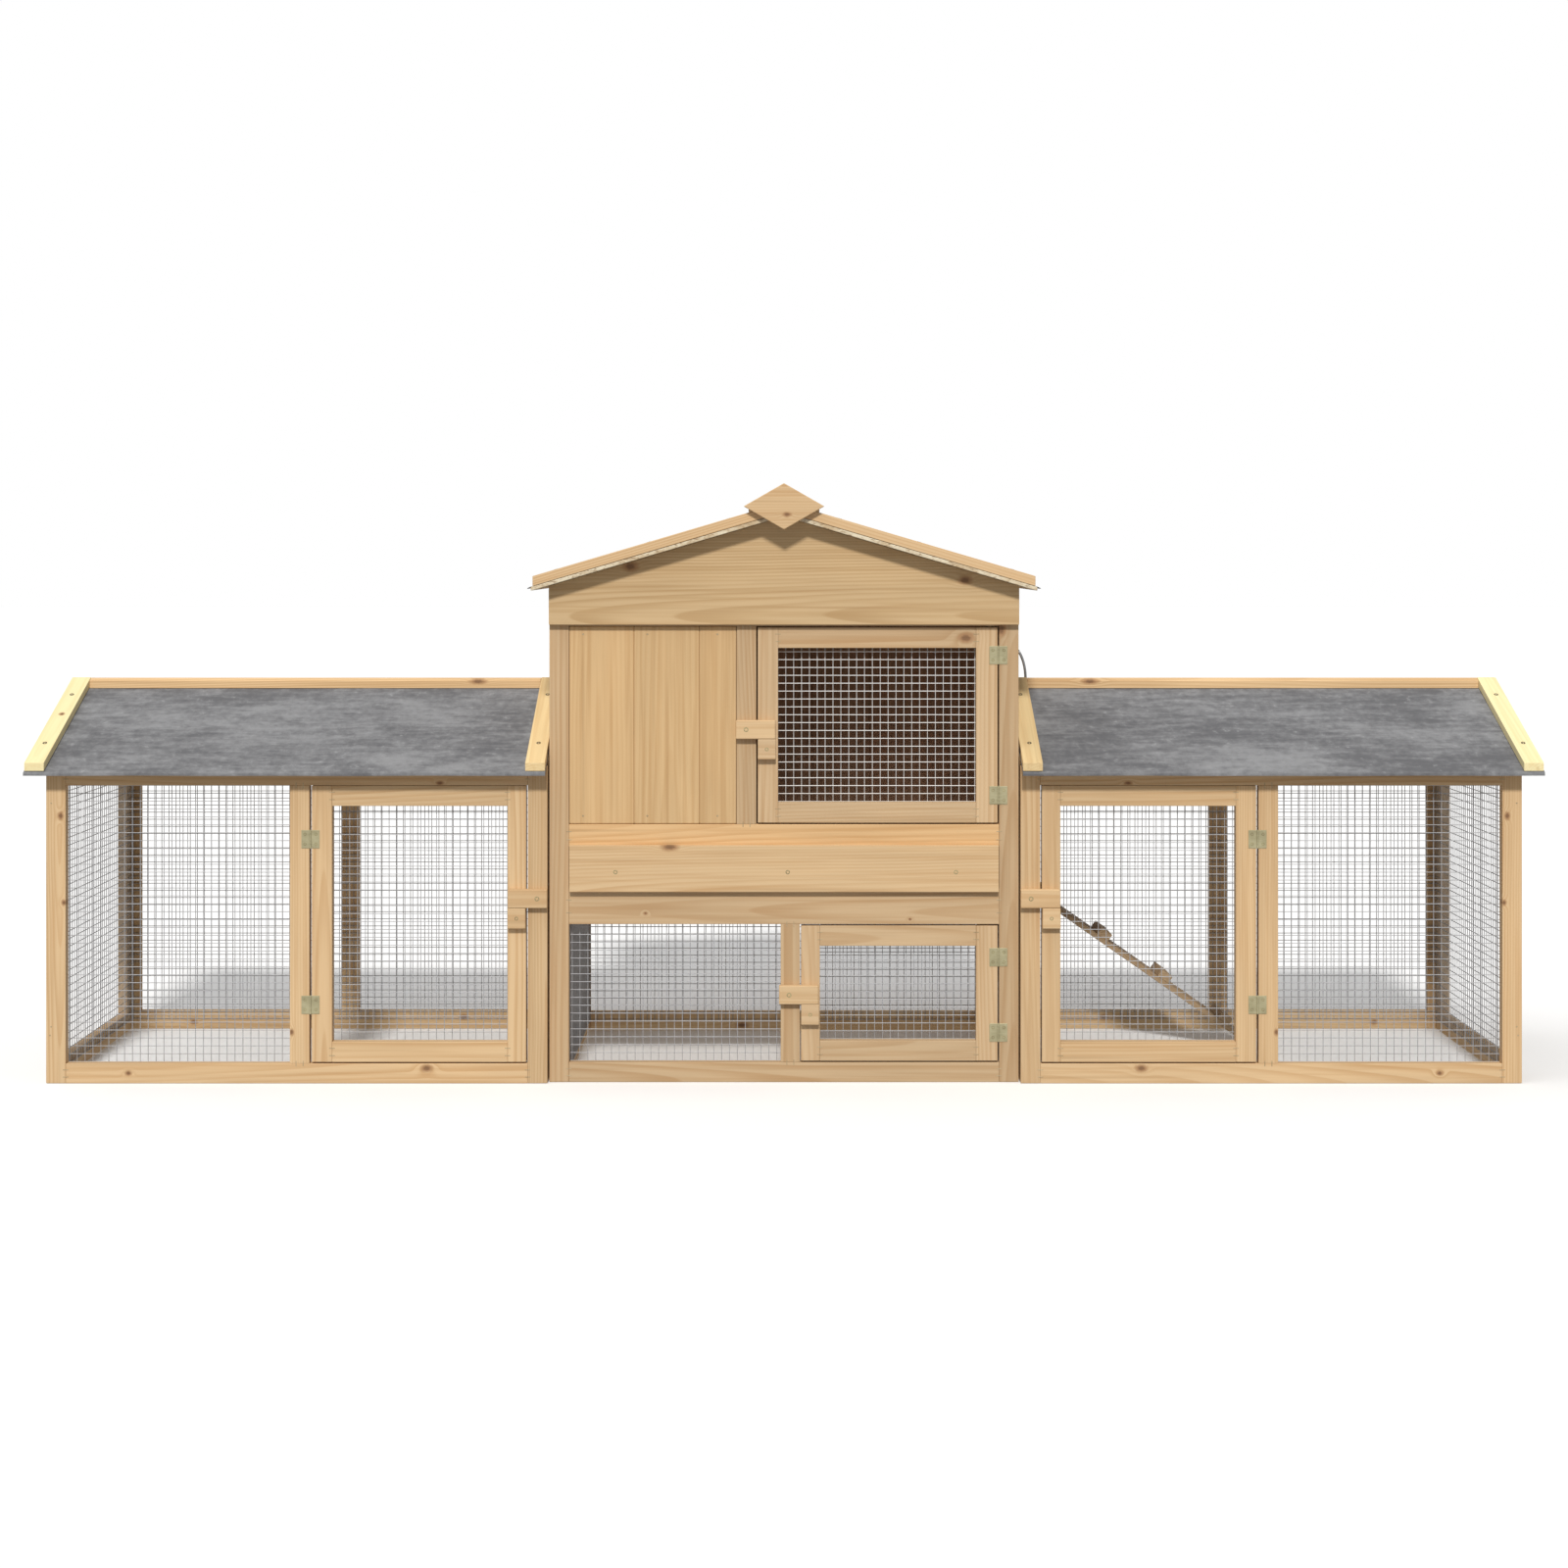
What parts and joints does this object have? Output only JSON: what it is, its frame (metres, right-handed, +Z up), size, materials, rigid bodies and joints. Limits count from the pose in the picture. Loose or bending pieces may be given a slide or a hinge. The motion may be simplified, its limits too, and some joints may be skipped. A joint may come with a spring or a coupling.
{
  "type": "rabbit hutch",
  "caption": "Wooden two-storey rabbit hutch with gabled roof, side runs of welded mesh, hinged doors, droppings tray, hatch and ramp.",
  "frame": {"origin": "on the ground under the middle of the hutch", "axes": "+X along the length, the doors face -Y, +Z up"},
  "size_m": [2.038, 0.4598, 0.809],
  "materials": {
    "timber": "planed unpainted softwood, matt",
    "planking": "planed softwood boards and plywood, matt",
    "roofing_felt": "grey mineral roofing felt on thin sheathing, rough",
    "welded_mesh": "galvanised welded wire",
    "sheet_steel": "galvanised sheet",
    "steel_rod": "bright drawn rod",
    "hinge_brass": "dull yellow passivated steel"
  },
  "bodies": {
    "root": {"house_front_frame": "timber", "house_front_planks": "planking", "house_back_frame": "timber", "house_back_planks": "planking", "house_left_frame": "timber", "house_left_planks": "planking", "house_right_frame": "timber", "house_right_planks": "planking", "house_floor": "planking", "gable_front": "timber", "gable_back": "timber", "house_roof_left": "roofing_felt", "house_roof_right": "roofing_felt", "house_roof_front_battens": "timber", "house_roof_back_battens": "timber", "house_ridge_cap": "timber", "ridge_diamond": "timber", "house_front_mesh": "welded_mesh", "house_lower_mesh": "welded_mesh", "hatch_guide": "timber", "left_run_front_frame": "timber", "left_run_back_frame": "timber", "left_run_outer_end_frame": "timber", "left_run_inner_end_frame": "timber", "left_run_roof_front": "roofing_felt", "left_run_roof_back": "roofing_felt", "left_run_roof_outer_battens": "timber", "left_run_roof_inner_battens": "timber", "left_run_roof_ridge_strip": "timber", "left_run_front_mesh": "welded_mesh", "left_run_back_and_end_mesh": "welded_mesh", "right_run_front_frame": "timber", "right_run_back_frame": "timber", "right_run_outer_end_frame": "timber", "right_run_inner_end_frame": "timber", "right_run_roof_front": "roofing_felt", "right_run_roof_back": "roofing_felt", "right_run_roof_outer_battens": "timber", "right_run_roof_inner_battens": "timber", "right_run_roof_ridge_strip": "timber", "right_run_front_mesh": "welded_mesh", "right_run_back_and_end_mesh": "welded_mesh"},
    "left_run_door": {"left_run_door_frame": "timber", "left_run_door_mesh": "welded_mesh"},
    "left_run_latch": {"left_run_latch_bar": "timber"},
    "right_run_door": {"right_run_door_frame": "timber", "right_run_door_mesh": "welded_mesh"},
    "right_run_latch": {"right_run_latch_bar": "timber"},
    "upper_door": {"upper_door_frame": "timber", "upper_door_mesh": "welded_mesh"},
    "upper_latch": {"upper_latch_bar": "timber"},
    "lower_door": {"lower_door_frame": "timber", "lower_door_mesh": "welded_mesh"},
    "lower_latch": {"lower_latch_bar": "timber"},
    "tray": {"tray_front": "timber", "tray_pan": "sheet_steel"},
    "hatch": {"hatch": "planking", "hatch_pull_rod": "steel_rod"},
    "ramp": {"ramp": "timber"}
  },
  "joints": [
    {"name": "left_run_door_hinge", "type": "hinge", "parent": "root", "child": "left_run_door", "pos_m": [-0.639, -0.1961, 0.2175], "axis": [0, 0, -1], "range_deg": [0, 110]},
    {"name": "right_run_door_hinge", "type": "hinge", "parent": "root", "child": "right_run_door", "pos_m": [0.639, -0.1961, 0.2175], "axis": [0, 0, 1], "range_deg": [0, 110]},
    {"name": "upper_door_hinge", "type": "hinge", "parent": "root", "child": "upper_door", "pos_m": [0.29, -0.1881, 0.4825], "axis": [0, 0, 1], "range_deg": [0, 110]},
    {"name": "lower_door_hinge", "type": "hinge", "parent": "root", "child": "lower_door", "pos_m": [0.29, -0.1881, 0.118], "axis": [0, 0, 1], "range_deg": [0, 110]},
    {"name": "left_run_latch_pivot", "type": "hinge", "parent": "root", "child": "left_run_latch", "pos_m": [-0.3325, -0.2001, 0.2501], "axis": [0, 1, 0], "range_deg": [0, 90]},
    {"name": "right_run_latch_pivot", "type": "hinge", "parent": "root", "child": "right_run_latch", "pos_m": [0.3325, -0.2001, 0.2501], "axis": [0, -1, 0], "range_deg": [0, 90]},
    {"name": "upper_latch_pivot", "type": "hinge", "parent": "root", "child": "upper_latch", "pos_m": [-0.0512, -0.1921, 0.4773], "axis": [0, -1, 0], "range_deg": [0, 90]},
    {"name": "lower_latch_pivot", "type": "hinge", "parent": "root", "child": "lower_latch", "pos_m": [0.0068, -0.1921, 0.1192], "axis": [0, -1, 0], "range_deg": [0, 90]},
    {"name": "tray_slide", "type": "slide", "parent": "root", "child": "tray", "axis": [0, -1, 0], "range_m": [0, 0.33]},
    {"name": "hatch_slide", "type": "slide", "parent": "root", "child": "hatch", "axis": [0, 0, 1], "range_m": [0, 0.115]},
    {"name": "ramp_hinge", "type": "hinge", "parent": "root", "child": "ramp", "pos_m": [0.3203, 0.0829, 0.2531], "axis": [0, -1, 0], "range_deg": [0, 35]}
  ]
}
